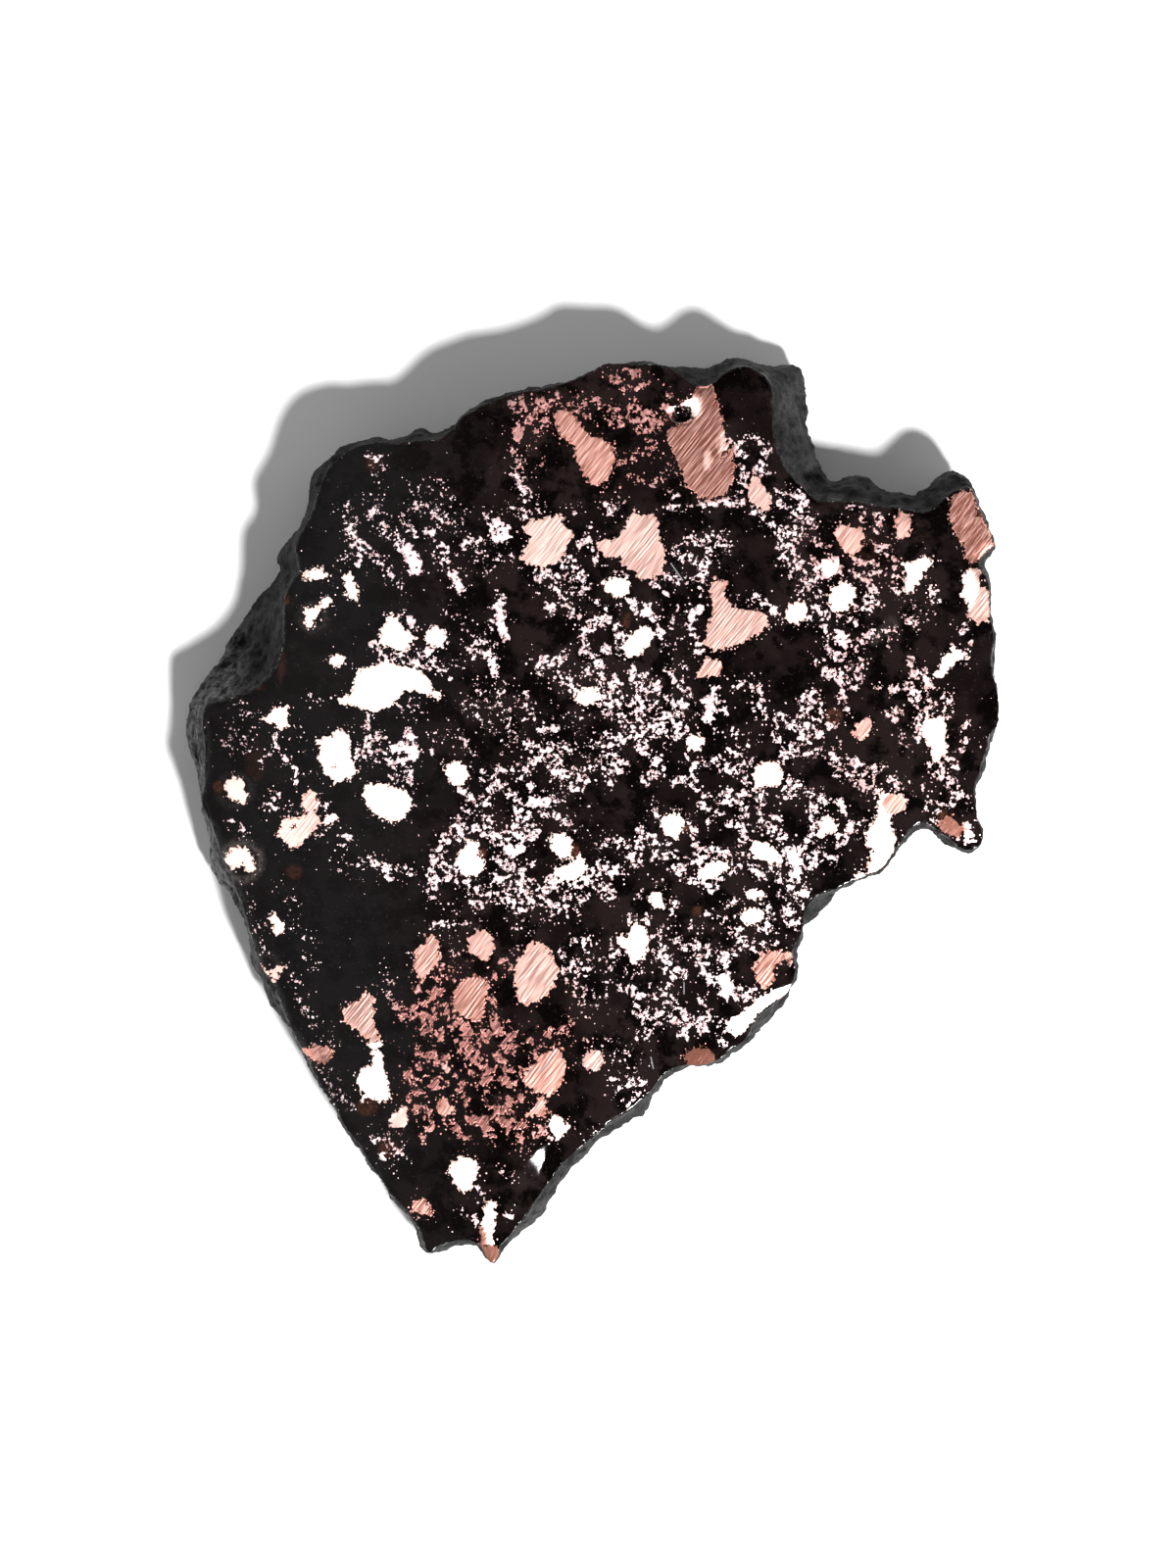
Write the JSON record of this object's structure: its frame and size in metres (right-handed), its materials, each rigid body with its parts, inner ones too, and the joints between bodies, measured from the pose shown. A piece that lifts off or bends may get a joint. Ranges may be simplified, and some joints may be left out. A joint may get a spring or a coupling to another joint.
{
  "type": "copper ore slab",
  "caption": "Palm-sized slab of dark basalt full of native copper, ground flat and polished above, sawn flat below, with a rough broken edge.",
  "frame": {"origin": "centre of the bounding box, on the sawn underside", "axes": "+Z out of the polished face, +Y along the slab's longest extent towards its broad end, +X to the right as the polished face is seen"},
  "size_m": [0.0839, 0.0931, 0.009],
  "materials": {
    "copper_bearing_basalt": "polished and lacquered dark basalt with bright pink native copper in grains and nuggets; broken rind on the edge"
  },
  "bodies": {
    "root": {"copper_ore_slab": "copper_bearing_basalt"}
  },
  "joints": []
}
